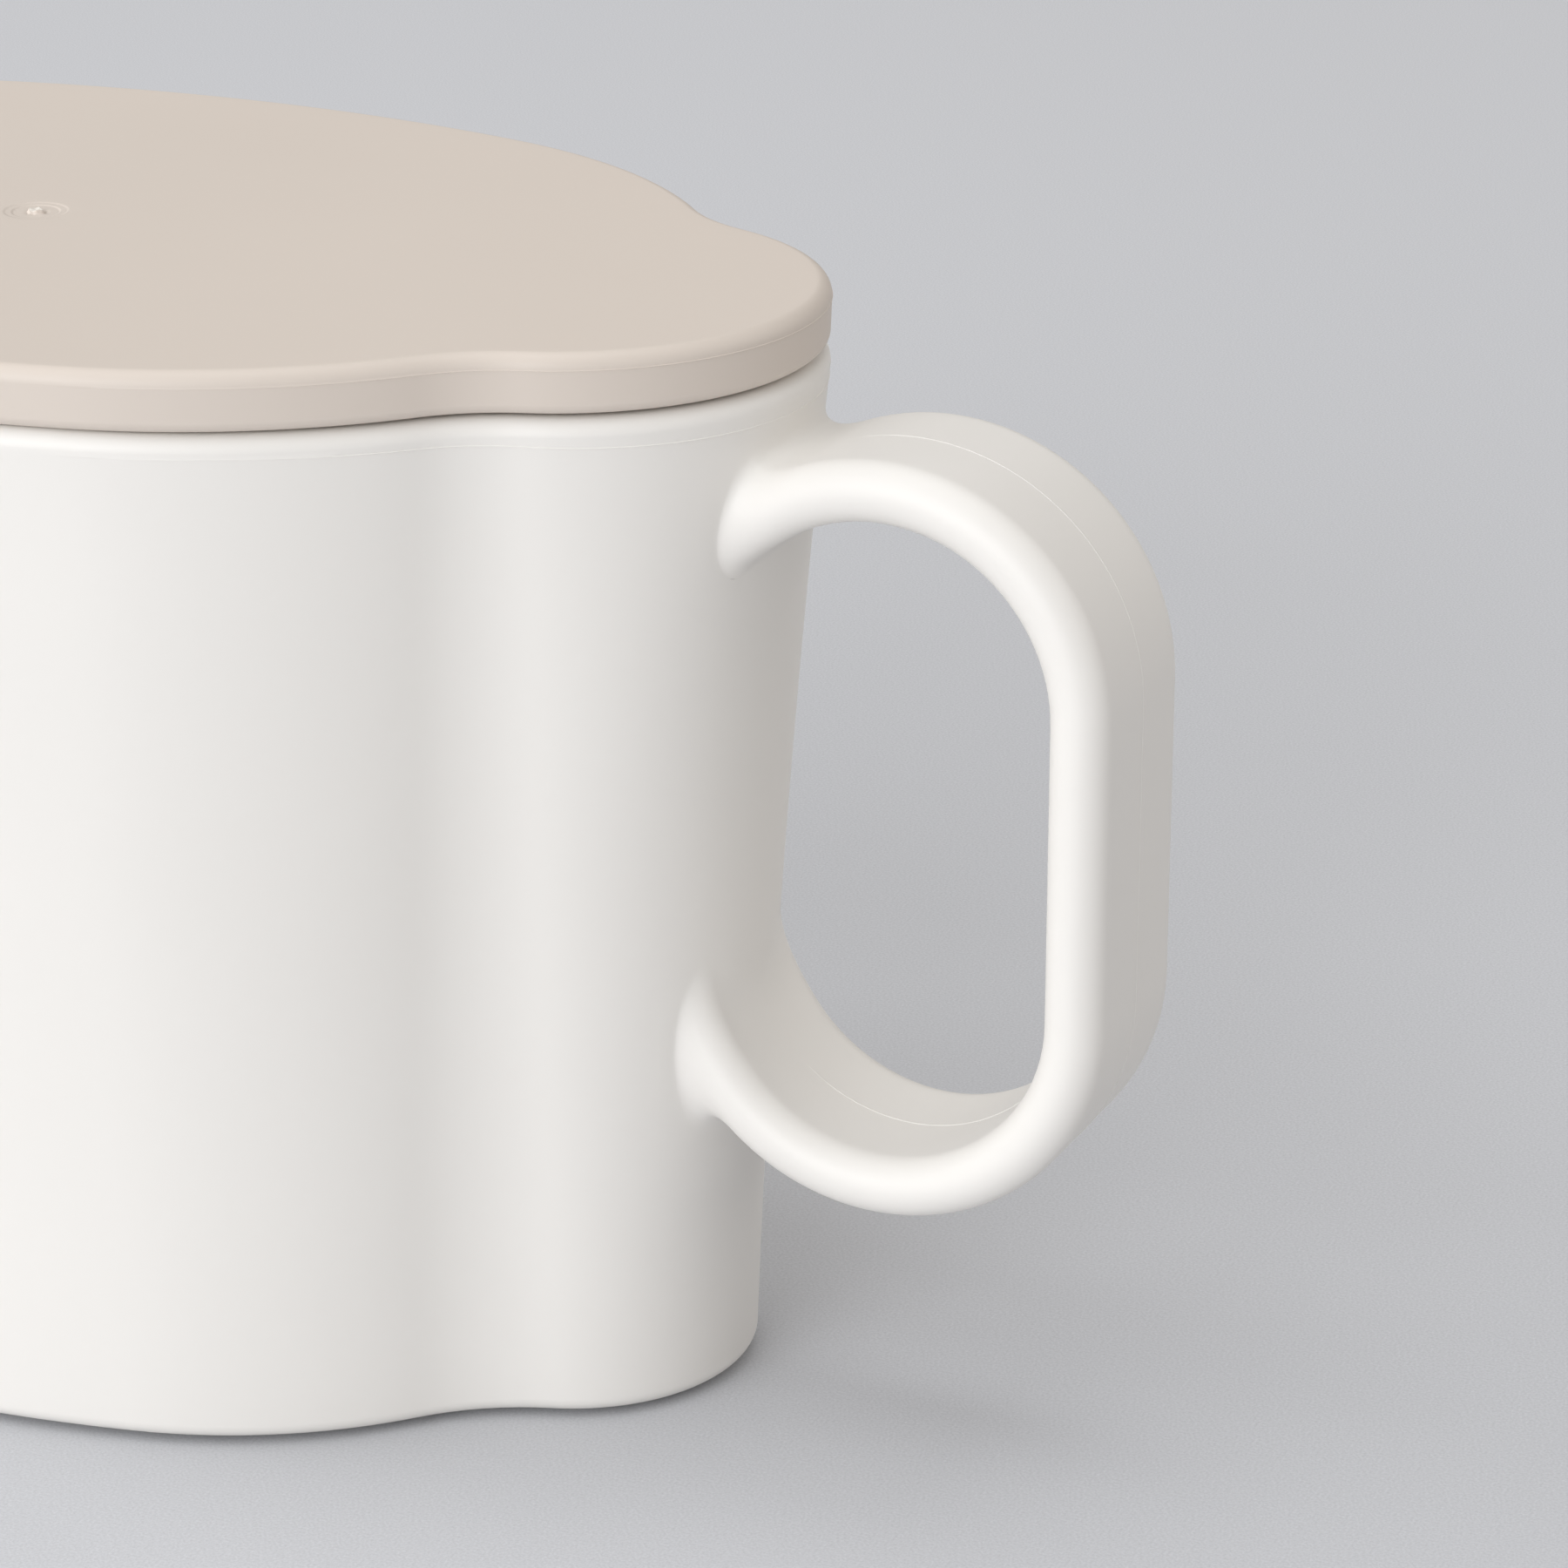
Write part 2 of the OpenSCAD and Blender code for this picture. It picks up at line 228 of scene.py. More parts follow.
class Outline:
    """The rim's plan as points with outward normals, so that a ring can be drawn at any offset."""

    LOBE_STEPS = 22
    HOLLOW_STEPS = 8
    SHOULDER_STEPS = 22
    BULGE_STEPS = 20

    def __init__(self, sizes):
        bulge, shoulder = sizes.bulge_radius, sizes.shoulder_radius
        lobe, hollow = sizes.lobe_radius, sizes.hollow_radius
        bulge_end = math.pi / 2 - math.asin(sizes.shoulder_reach / (bulge - shoulder))
        bulge_centre = Vector((0.0, sizes.rim_width / 2 - bulge))
        shoulder_centre = bulge_centre + (bulge - shoulder) * unit(bulge_end)
        self.lobe_radius = lobe
        self.lobe_centre = Vector((sizes.rim_length / 2 - lobe, 0.0))
        hollow_centre = self.meet(
            shoulder_centre, shoulder + hollow, self.lobe_centre, lobe + hollow
        )
        to_lobe = hollow_centre - self.lobe_centre
        to_shoulder = hollow_centre - shoulder_centre
        lobe_end = math.atan2(to_lobe.y, to_lobe.x)
        self.lobe_step = lobe_end / self.LOBE_STEPS
        shoulder_start = math.atan2(to_shoulder.y, to_shoulder.x)
        quarter = [
            *self.walk(self.lobe_centre, lobe, 0.0, lobe_end, self.LOBE_STEPS),
            *self.walk(hollow_centre, -hollow, lobe_end, shoulder_start, self.HOLLOW_STEPS),
            *self.walk(shoulder_centre, shoulder, shoulder_start, bulge_end, self.SHOULDER_STEPS),
            *self.walk(bulge_centre, bulge, bulge_end, math.pi / 2, self.BULGE_STEPS),
        ]
        middle = [(Vector((0.0, sizes.rim_width / 2)), Vector((0.0, 1.0)))]
        left = [self.mirrored(p, -1, 1) for p in reversed(quarter[1:])]
        upper = quarter + middle + left
        end = [self.mirrored(quarter[0], -1, 1)]
        lower = [self.mirrored(p, 1, -1) for p in reversed(upper[1:])]
        self.points = upper + end + lower
        fade = sizes.ridge_full - sizes.ridge_start
        shares = [(abs(point.x) - sizes.ridge_start) / fade for point, _ in self.points]
        self.lobed = [max(0.0, min(1.0, share)) for share in shares]

    @staticmethod
    def meet(p, from_p, q, from_q):
        """The point on the left of the line from p to q at these distances from the two."""
        span = q - p
        along = (from_p**2 - from_q**2 + span.length_squared) / (2 * span.length)
        direction = span.normalized()
        aside = math.sqrt(from_p**2 - along**2)
        return p + along * direction + aside * Vector((-direction.y, direction.x))

    @staticmethod
    def walk(centre, radius, start, end, steps):
        """Points and normals along an arc, without its last one. A hollow's radius is negative."""
        return [(centre + radius * unit(a), unit(a)) for a in evenly(start, end, steps)[:-1]]

    @staticmethod
    def mirrored(point, x, y):
        return tuple(Vector((x * v.x, y * v.y)) for v in point)

    def place(self, column, offset, height, stand=0.0, dip=0.0):
        """A point that stands out or dips by so much at the lobes, and less towards the bulges."""
        point, normal = self.points[column]
        share = self.lobed[column]
        return at_height(point + (offset + stand * share) * normal, height - dip * share)

    def ring(self, *place):
        return [self.place(column, *place) for column in range(len(self.points))]

    def rings(self, section):
        return [self.ring(*place) for place in section]


def settle(piece, points):
    """Moves the selected ring of the piece in edit mode to these points, by its column numbers."""
    mesh = bmesh.from_edit_mesh(piece.data)
    column = mesh.verts.layers.int["column"]
    for vertex in mesh.verts:
        if vertex.select:
            vertex.co = points[vertex[column]]
    bmesh.update_edit_mesh(piece.data)


def choose(piece):
    """Makes the piece the only selected object and the active one."""
    bpy.ops.object.select_all(action="DESELECT")
    piece.select_set(True)
    bpy.context.view_layer.objects.active = piece


def ring_piece(name, rings, capped=True):
    """A piece extruded ring by ring from a circle, closed if capped, and left in object mode."""
    bpy.ops.object.select_all(action="DESELECT")
    bpy.ops.mesh.primitive_circle_add(vertices=len(rings[0]))
    piece = bpy.context.object
    piece.name = piece.data.name = name
    bpy.ops.object.mode_set(mode="EDIT")
    mesh = bmesh.from_edit_mesh(piece.data)
    column = mesh.verts.layers.int.new("column")
    for i, vertex in enumerate(mesh.verts):
        vertex[column] = i
    settle(piece, rings[0])
    for ring in rings[1:]:
        bpy.ops.mesh.extrude_region_move()
        settle(piece, ring)
    bpy.ops.mesh.select_all(action="SELECT")
    if capped:
        bpy.ops.mesh.fill_holes(sides=0)
        bpy.ops.mesh.normals_make_consistent(inside=False)
    bpy.ops.object.mode_set(mode="OBJECT")
    return piece


def smooth(piece, angle=40):
    """Smooth shading up to an angle, with the normals led by the larger faces."""
    choose(piece)
    bpy.ops.object.shade_smooth_by_angle(angle=math.radians(angle))
    bpy.ops.object.modifier_add(type="WEIGHTED_NORMAL")
    piece.modifiers[-1].keep_sharp = True
    bpy.ops.object.modifier_apply(modifier=piece.modifiers[-1].name)


class Cup:
    """The cup's section, as (offset, height) pairs from the rim's outline."""

    ROUNDING_STEPS = 8
    INNER_RIM_STEPS = 4
    INSIDE_STEPS = 16
    BETWEEN_STEPS = 12
    BELOW_STEPS = 8
    FLOOR_BORDER = 0.0008
    HOLLOW_BORDER = 0.0006

    def __init__(self, sizes):
        self.sizes = sizes

    def offset(self, height):
        """Offset of the wall's outer face."""
        s = 1 - height / self.sizes.height
        return -self.sizes.lean * s - 4 * self.sizes.bow * s * (1 - s)

    def face(self, start, end, depth, steps):
        """A face of the wall, this deep inside its outer face."""
        return [(self.offset(z) - depth, z) for z in evenly(start, end, steps)]

    def inside(self):
        """From the middle of the floor up the inside."""
        sizes = self.sizes
        floor = sizes.foot_height + sizes.floor
        rounding = sizes.floor_rounding
        corner = (self.offset(floor + rounding) - sizes.wall - rounding, floor + rounding)
        top = sizes.height - sizes.rim_inner_rounding
        return [
            (corner[0] - self.FLOOR_BORDER, floor),
            *arc(corner, rounding, -90, 0, self.ROUNDING_STEPS),
            *self.face(corner[1], top, sizes.wall, self.INSIDE_STEPS)[1:],
        ]

    def rim(self):
        """Over the rim, which dips at the lobes."""
        sizes = self.sizes
        inner, outer = sizes.rim_inner_rounding, sizes.rim_rounding
        inner_centre = (inner - sizes.wall, sizes.height - inner)
        outer_centre = (self.offset(sizes.height - outer) - outer, sizes.height - outer)
        rim = [
            *arc(inner_centre, inner, 180, 90, self.INNER_RIM_STEPS)[1:],
            *arc(outer_centre, outer, 90, 0, self.ROUNDING_STEPS),
        ]
        return [(offset, z, 0.0, sizes.rim_dip) for offset, z in rim]

    def seam_rings(self, outline):
        """Rings of the rim's parting ridge: a slope that faces up, and a ledge under it."""
        sizes = self.sizes
        high = sizes.seam_height

        def point(column, stand, rise):
            left = outline.lobe_centre.x + outline.lobe_radius - abs(outline.points[column][0].x)
            climb = sizes.seam_climb * min(1.0, left / sizes.seam_run)
            z = sizes.height - sizes.seam_drop + climb + rise
            return outline.place(column, self.offset(z), z, stand)

        steps = ((0.0, high), (high, 0.0), (0.0, -LEDGE * high))
        return [[point(c, *step) for c in range(len(outline.points))] for step in steps]

    def outside(self, upper, lower):
        """From the parting ridge down past the two roots' heights to the hollow in the foot."""
        sizes = self.sizes
        base, bevel = sizes.base_rounding, sizes.foot_bevel
        corner = base + sizes.base_lift
        edge = self.offset(corner) - base
        foot = edge - sizes.foot_inset
        hollow = foot - sizes.foot_width
        heights = [
            *upper[::-1],
            *evenly(upper[0], lower[-1], self.BETWEEN_STEPS)[1:-1],
            *lower[::-1],
            *evenly(lower[0], corner, self.BELOW_STEPS)[1:],
        ]
        return [
            *[(self.offset(z), z) for z in heights],
            *arc((edge, corner), base, 0, -90, self.ROUNDING_STEPS)[1:],
            (foot, sizes.base_lift),
            (foot, bevel),
            (foot - bevel, 0.0),
            (hollow + bevel, 0.0),
            (hollow, bevel),
            (hollow, sizes.foot_height),
            (hollow - self.HOLLOW_BORDER, sizes.foot_height),
        ]

    def rings(self, loop):
        outline = loop.outline
        return [
            *outline.rings(self.inside() + self.rim()),
            *self.seam_rings(outline),
            *outline.rings(self.outside(loop.upper.heights, loop.lower.heights)),
        ]


class Root:
    """One end of the handle: where its bends end, and the window in the wall it grows out of."""

    MARGIN = 0.0003
    FADE = 0.08
    MOST_BEND = math.radians(150)
    CORRECTIONS = 10
    COLLAR_STEPS = 5

    def __init__(self, loop, centre, up):
        self.loop, self.centre, self.up = loop, centre, up
        self.ways = [self.way(point) for point in loop.section]
        self.seat = self.ring(1.0)
        low = min(p.z for p in self.seat) - self.MARGIN
        high = max(p.z for p in self.seat) + self.MARGIN
        wide = max(p.y for p in self.seat) + self.MARGIN
        narrowest = loop.outline.lobe_radius + loop.cup.offset(low)
        columns = math.ceil(math.asin(wide / narrowest) / loop.outline.lobe_step)
        self.columns = max(columns, loop.FLAT_COLUMNS)
        self.heights = evenly(low, high, len(loop.section) // 2 - 2 * self.columns)

    def place(self, point, angle, past=0.0):
        """A point of the band's section at an angle of its bend, or straight on from there."""
        loop = self.loop
        radius = loop.radius + point[0]
        return Vector((
            loop.middle + radius * math.cos(angle) - past * math.sin(angle),
            point[1],
            self.centre + self.up * (radius * math.sin(angle) + past * math.cos(angle)),
        ))

    def way(self, point):
        """A point's way over the root: where its bend ends, and where it would meet the wall."""
        loop = self.loop
        radius = loop.radius + point[0]
        angle = math.pi / 2
        for _ in range(self.CORRECTIONS):
            p = self.place(point, angle)
            reach = loop.wall_x(p.y, p.z) + loop.sizes.spread_run - loop.middle
            angle = math.acos(max(reach / radius, math.cos(self.MOST_BEND)))
        start = self.place(point, angle)
        past = 0.0
        for _ in range(self.CORRECTIONS):
            p = self.place(point, angle, past)
            past += (p.x - loop.wall_x(p.y, p.z)) / math.sin(angle)
        away = start.x - loop.wall_x(start.y, start.z)
        return angle, start.z, away, self.place(point, angle, past).z

    def ring(self, share):
        """A ring of the spreading root, from the ends of the bends at 0 to the wall at 1."""
        loop = self.loop
        left = (1 - share) ** 2
        ring = []
        for point, (_, start, away, corner) in zip(loop.section, self.ways):
            outward, aside = loop.spread(point, self.up)
            y = point[1] + aside * share**2
            z = corner + left * (start - corner) + self.up * outward * share**2
            ring.append(Vector((loop.wall_x(y, z) + left * away, y, z)))
        return ring

    def window(self):
        """The window's edge, point by point beside the band's section."""
        columns, flat, rows = self.columns, self.loop.FLAT_COLUMNS, len(self.heights) - 1
        near = [
            *[(c, 0) for c in range(flat, columns)],
            *[(columns, row) for row in range(rows)],
            *[(c, rows) for c in range(columns, -flat, -1)],
        ]
        edge = near + [(-c, rows - row) for c, row in near]
        heights = self.heights[:: self.up]
        offsets = [self.loop.cup.offset(z) for z in heights]
        return [self.loop.outline.place(c, offsets[row], heights[row]) for c, row in edge]

    def collar(self, window, amount):
        """A ring on the wall between the window's edge and the seat."""
        between = [a.lerp(b, amount) for a, b in zip(window, self.seat)]
        return [Vector((self.loop.wall_x(p.y, p.z), p.y, p.z)) for p in between]

    def bend(self, share):
        """A ring of the bend, from the straight bar at 0 to the root at 1, where the ridge ends."""
        section = self.loop.band_section(min(1.0, (1 - share) / self.FADE))
        return [self.place(point, way[0] * share) for point, way in zip(section, self.ways)]

    def rings(self):
        """Rings from the window's edge out to the end of the straight bar."""
        loop, window = self.loop, self.window()
        return [
            window,
            *[self.collar(window, s) for s in evenly(0.0, 1.0, self.COLLAR_STEPS)[1:-1]],
            self.seat,
            *[self.ring(s) for s in evenly(1.0, 0.0, loop.ROOT_STEPS)[1:-1]],
            *[self.bend(s) for s in evenly(1.0, 0.0, loop.BEND_STEPS)],
        ]


class Loop:
    """The handle: a flat band with round edges, bent into a loop from one root to the other."""

    EDGE_STEPS = 24
    FLAT_COLUMNS = 10
    BEND_STEPS = 34
    ROOT_STEPS = 14
    BAR_STEPS = 6

    def __init__(self, sizes, cup, outline):
        self.sizes, self.cup, self.outline = sizes, cup, outline
        self.radius = sizes.bend_radius
        self.reach = self.radius + sizes.thickness / 2
        self.middle = sizes.outer_face - self.reach
        self.section = self.band_section(0.0)
        self.upper = Root(self, cup.sizes.height - sizes.drop - self.reach, 1)
        self.lower = Root(self, sizes.rise + self.reach, -1)

    def band_section(self, ridge):
        """Points round the band, as offsets in thickness and width, with a share of its ridge."""
        sizes = self.sizes
        half = sizes.thickness / 2 - sizes.seam_height
        flat = sizes.width / 2 - half
        angles = evenly(-math.pi / 2, math.pi / 2, self.EDGE_STEPS)
        edge = [(half * math.sin(a), flat + half * math.cos(a)) for a in angles]
        side = [(half, y) for y in evenly(flat, sizes.seam_width, self.FLAT_COLUMNS - 1)[1:]]
        middle = [(half + ridge * sizes.seam_height, 0.0)]
        near = edge + side + middle + [(x, -y) for x, y in reversed(side)]
        return near + [(-x, -y) for x, y in near]

    def wall_x(self, y, z):
        """Place of the end lobe's wall."""
        radius = self.outline.lobe_radius + self.cup.offset(z)
        return self.outline.lobe_centre.x + math.sqrt(radius**2 - y**2)

    def spread(self, point, up):
        """How far a point of an arm's section moves over the wall, outward and aside."""
        x, y = point
        sizes = self.sizes
        half = sizes.thickness / 2
        flat = sizes.width / 2 - half
        aside = y - max(-flat, min(flat, y))
        if up > 0:
            outward = sizes.face_spread if x > 0 else sizes.under_spread
        else:
            outward = sizes.heel_spread if x > 0 else sizes.over_spread
        return outward * x / half, sizes.side_spread * aside / half

    def rings(self):
        upper, lower = self.upper.rings(), self.lower.rings()
        shares = evenly(0.0, 1.0, self.BAR_STEPS)[1:-1]
        bar = [[a.lerp(b, s) for a, b in zip(upper[-1], lower[-1])] for s in shares]
        return upper + bar + lower[::-1]


class SOUPMUG_OT_mug(bpy.types.Operator):
    """Model the cup and its handle and weld them into one moulding"""

    bl_idname = "soupmug.mug"
    bl_label = "Mug"
    bl_options = {"REGISTER", "UNDO"}

    WELD = 0.00001

    def execute(self, context):
        settings = context.scene.soup_mug
        cup = Cup(settings.mug)
        loop = Loop(settings.handle, cup, Outline(settings.outline))
        handle = ring_piece("handle_loop", loop.rings(), capped=False)
        mug = ring_piece("mug", cup.rings(loop))
        self.open_windows(mug, loop)
        handle.select_set(True)
        bpy.ops.object.join()
        bpy.ops.object.mode_set(mode="EDIT")
        bpy.ops.mesh.select_all(action="SELECT")
        bpy.ops.mesh.remove_doubles(threshold=self.WELD)
        bpy.ops.mesh.normals_make_consistent(inside=False)
        bpy.ops.object.mode_set(mode="OBJECT")
        smooth(mug)
        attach(mug, "mug")
        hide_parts("mug_body", "handle")
        mug.data.materials.clear()
        mug.data.materials.append(mug_plastic(settings.finish))
        return {"FINISHED"}

    def open_windows(self, mug, loop):
        """Deletes the wall's outer faces where the two roots grow out of it."""
        bpy.ops.object.mode_set(mode="EDIT")
        bpy.ops.mesh.select_all(action="DESELECT")
        mesh = bmesh.from_edit_mesh(mug.data)
        column = mesh.verts.layers.int["column"]
        count = len(loop.outline.points)

        def within(vertex, root):
            x, y, z = vertex.co
            return (
                min(vertex[column], count - vertex[column]) <= root.columns
                and root.heights[0] - self.WELD < z < root.heights[-1] + self.WELD
                and abs(x - loop.wall_x(y, z)) < self.WELD
            )

        for root in (loop.upper, loop.lower):
            for face in mesh.faces:
                if all(within(vertex, root) for vertex in face.verts):
                    face.select_set(True)
        bmesh.update_edit_mesh(mug.data)
        bpy.ops.mesh.delete(type="FACE")
        bpy.ops.object.mode_set(mode="OBJECT")


class Plate:
    """The lid's section, as (offset, height) pairs from the rim's outline."""

    RING_ROUNDING_STEPS = 5
    RING_STEPS = 3
    LOW_ROUNDING_STEPS = 10
    ROUNDING_STEPS = 14
    UNDER_BORDER = 0.0008
    TOP_BORDER = 0.0006
    TOP_INSETS = (0.006, 0.014)

    def __init__(self, sizes, cup):
        self.sizes, self.cup = sizes, cup

    def inner_ring(self):
        """From the underside of the plate round the inner ring to the lid's bottom edge."""
        sizes, cup = self.sizes, self.cup
        low, rounding, bevel = sizes.low, sizes.ring_rounding, sizes.ring_bevel
        depth = cup.sizes.wall + sizes.ring_clearance
        outside = cup.offset(low + rounding) - depth
        inside = outside - sizes.ring_thickness
        under = sizes.top - sizes.plate
        bottom = sizes.top - sizes.edge
        return [
            (inside - self.UNDER_BORDER, under),
            (inside - bevel, under),
            (inside, under - bevel),
            (inside, low + bevel),
            (inside + bevel, low),
            *arc((outside - rounding, low + rounding), rounding, -90, 0, self.RING_ROUNDING_STEPS),
            *cup.face(low + rounding, bottom - bevel, depth, self.RING_STEPS)[1:],
            (cup.offset(bottom) - depth + bevel, bottom),
        ]

    def edge(self):
        """From the bottom edge up the side and its parting ridge to the flat top."""
        sizes = self.sizes
        rounding, low_rounding, ridge = sizes.rounding, sizes.low_rounding, sizes.seam_height
        low_centre = (-sizes.lean - low_rounding, sizes.top - sizes.edge + low_rounding)
        shoulder = sizes.top - rounding
        return [
            *arc(low_centre, low_rounding, -90, 0, self.LOW_ROUNDING_STEPS),
            (-sizes.seam_step, shoulder - (1 + LEDGE) * ridge),
            (-ridge, shoulder - ridge, ridge),
            *arc((-ridge - rounding, shoulder), rounding, 0, 90, self.ROUNDING_STEPS),
            (-rounding - self.TOP_BORDER, sizes.top),
            *[(-inset, sizes.top) for inset in self.TOP_INSETS],
        ]

    def rings(self, outline):
        return outline.rings(self.inner_ring() + self.edge())


class Gate:
    """The gate mark: a stepped round hollow with the rough stub of the cut-off gate inside."""

    COLUMNS = 64

    # Steps of the hollow: share of its radius, share of its depth.
    HOLLOW = (
        (1.5, 0.0),
        (1.06, 0.0),
        (1.01, 0.04),
        (0.98, 0.40),
        (0.94, 0.45),
        (0.80, 0.45),
        (0.77, 0.50),
        (0.74, 1.0),
        (0.70, 1.0),
        (0.50, 1.0),
    )

    # Steps of the stub's foot and tip: share of its radius, rise as a share of the hollow's depth
    # from the hollow's floor or from the tip, share of the roughness.
    FOOT = ((1.45, 0.0, 0.3), (1.15, -0.6, 1.0), (1.0, 0.2, 1.0))
    TIP = ((0.9, -0.3, 1.0), (0.7, 0.0, 1.0), (0.4, -0.3, 0.6), (0.1, -0.5, 0.2))

    # Waves in the rough stub's radius and height: share, count round the stub, phase.
    RADIUS_WAVES = ((0.10, 2, 0.6), (0.08, 3, 0.0), (0.05, 7, 1.0))
    HEIGHT_WAVES = ((0.5, 3, 2.0),)

    def __init__(self, sizes):
        self.sizes = sizes

    @staticmethod
    def wave(waves, angle):
        return sum(share * math.cos(count * angle + phase) for share, count, phase in waves)

    def ring(self, radius, height, rough):
        ring = []
        for i in range(self.COLUMNS):
            a = 2 * math.pi * i / self.COLUMNS
            r = radius * (1 + rough * self.wave(self.RADIUS_WAVES, a))
            z = height + rough * self.sizes.gate_depth * self.wave(self.HEIGHT_WAVES, a)
            ring.append(at_height(r * unit(a), z))
        return ring

    def rings(self):
        """Rings from the lid's flat top in to the middle of the stub."""
        sizes = self.sizes
        top, depth = sizes.top, sizes.gate_depth
        radius, stub = sizes.gate_radius, sizes.stub_radius
        floor = top - depth
        tip = floor + sizes.stub_height
        return [
            *[self.ring(r * radius, top - down * depth, 0.0) for r, down in self.HOLLOW],
            *[self.ring(r * stub, floor + up * depth, rough) for r, up, rough in self.FOOT],
            *[self.ring(r * stub, tip + up * depth, rough) for r, up, rough in self.TIP],
        ]


class SOUPMUG_OT_lid(bpy.types.Operator):
    """Model the lid with its inner ring, its parting ridge and its gate mark"""

    bl_idname = "soupmug.lid"
    bl_label = "Lid"
    bl_options = {"REGISTER", "UNDO"}

    def execute(self, context):
        settings = context.scene.soup_mug
        sizes = settings.lid
        gate = ring_piece("gate_mark", Gate(sizes).rings(), capped=False)
        self.close_end(gate, lambda vertex: vertex.co.xy.length < sizes.stub_radius)
        plate = Plate(sizes, Cup(settings.mug))
        lid = ring_piece("lid_plate", plate.rings(Outline(settings.outline)), capped=False)
        self.close_end(lid, lambda vertex: vertex.co.z < sizes.top - sizes.plate / 2)
        gate.select_set(True)
        bpy.ops.object.join()
        bpy.ops.object.mode_set(mode="EDIT")
        bpy.ops.mesh.select_all(action="DESELECT")
        bpy.ops.mesh.select_non_manifold(
            extend=False,
            use_wire=False,
            use_multi_face=False,
            use_non_contiguous=False,
            use_verts=False,
        )
        bpy.ops.mesh.bridge_edge_loops()
        bpy.ops.mesh.select_all(action="SELECT")
        bpy.ops.mesh.normals_make_consistent(inside=False)
        bpy.ops.object.mode_set(mode="OBJECT")
        smooth(lid)
        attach(lid, "lid")
        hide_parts("lid")
        lid.data.materials.clear()
        lid.data.materials.append(lid_plastic(settings.finish, sizes))
        return {"FINISHED"}

    @staticmethod
    def close_end(piece, chosen):
        """Fills one of the piece's two open ends, the one whose vertices are chosen."""
        choose(piece)
        bpy.ops.object.mode_set(mode="EDIT")
        bpy.ops.mesh.select_all(action="DESELECT")
        mesh = bmesh.from_edit_mesh(piece.data)
        for edge in mesh.edges:
            if edge.is_boundary and chosen(edge.verts[0]):
                edge.select_set(True)
        bmesh.update_edit_mesh(piece.data)
        bpy.ops.mesh.edge_face_add()
        bpy.ops.object.mode_set(mode="OBJECT")


class Socket:
    """An output of a shader node, with the operators that its maths needs."""

    def __init__(self, shader, output):
        self.shader, self.output = shader, output

    def sibling(self, name):
        """Another output of the same node."""
        return Socket(self.shader, self.output.node.outputs[name])

    def maths(self, operation, first, second):
        return self.shader.add("ShaderNodeMath", {"operation": operation}, {0: first, 1: second})

    def __add__(self, other):
        return self.maths("ADD", self, other)

    def __sub__(self, other):
        return self.maths("SUBTRACT", self, other)

    def __rsub__(self, other):
        return self.maths("SUBTRACT", other, self)

    def __mul__(self, other):
        return self.maths("MULTIPLY", self, other)

    def __lt__(self, other):
        return self.maths("LESS_THAN", self, other)

    __radd__ = __add__
    __rmul__ = __mul__


class Shader:
    """A new material's node tree, to which nodes are added with their settings and inputs."""

    # Places of a mix node's sockets for colours, which bear the same names as those for numbers.
    MIX_FACTOR, MIX_FIRST, MIX_SECOND, MIX_RESULT = 0, 6, 7, 2

    def __init__(self, name):
        self.material = bpy.data.materials.new(name)
        self.material.use_nodes = True
        self.tree = self.material.node_tree
        self.tree.nodes.clear()

    def add(self, kind, settings=None, inputs=None, output=0):
        """A new node's output, or nothing for a node that ends the tree."""
        node = self.tree.nodes.new(kind)
        for name, value in (settings or {}).items():
            setattr(node, name, value)
        for key, value in (inputs or {}).items():
            if isinstance(value, Socket):
                self.tree.links.new(value.output, node.inputs[key])
            else:
                node.inputs[key].default_value = value
        return Socket(self, node.outputs[output]) if node.outputs else None

    def coordinates(self):
        return self.add("ShaderNodeTexCoord", output="Object")

    def noise(self, place, scale, detail, roughness=0.5):
        inputs = {"Vector": place, "Scale": scale, "Detail": detail, "Roughness": roughness}
        return self.add("ShaderNodeTexNoise", {}, inputs)

    def mix(self, amount, first, second):
        """A blend of two colours."""
        inputs = {self.MIX_FACTOR: amount, self.MIX_FIRST: first, self.MIX_SECOND: second}
        return self.add("ShaderNodeMix", {"data_type": "RGBA"}, inputs, self.MIX_RESULT)

    def specks(self, place, spacing, radius, kept):
        """A mask of a few tiny specks, each in a cell of its own."""
        inputs = {"Vector": place, "Scale": 1 / spacing}
        distance = self.add("ShaderNodeTexVoronoi", {}, inputs, "Distance")
        chance = self.add("ShaderNodeSeparateColor", {}, {"Color": distance.sibling("Color")})
        return (distance < radius / spacing) * (chance < kept)

    def bump(self, height, strength, distance):
        inputs = {"Strength": strength, "Distance": distance, "Height": height}
        return self.add("ShaderNodeBump", {}, inputs)

    def from_axis(self, place):
        """Distance from the upright line through the origin."""
        level = {0: place, 1: (1.0, 1.0, 0.0)}
        flat = self.add("ShaderNodeVectorMath", {"operation": "MULTIPLY"}, level)
        return self.add("ShaderNodeVectorMath", {"operation": "LENGTH"}, {0: flat}, "Value")

    def finish(self, inputs):
        surface = self.add("ShaderNodeBsdfPrincipled", {}, inputs)
        self.add("ShaderNodeOutputMaterial", {}, {"Surface": surface})
        return self.material


def tint(base, factor):
    return (*[min(1.0, c * factor) for c in base], 1.0)


def tones(base, spread):
    """A darker and a lighter tone of a colour."""
    return tint(base, 1 - spread), tint(base, 1 + spread)


SPECK_RADIUS = 0.00007
SPECK_STRENGTH = 0.5
GRAIN_DEPTH = 0.00002
CUT_SHARE = 0.8
CUT_STRENGTH = 0.8


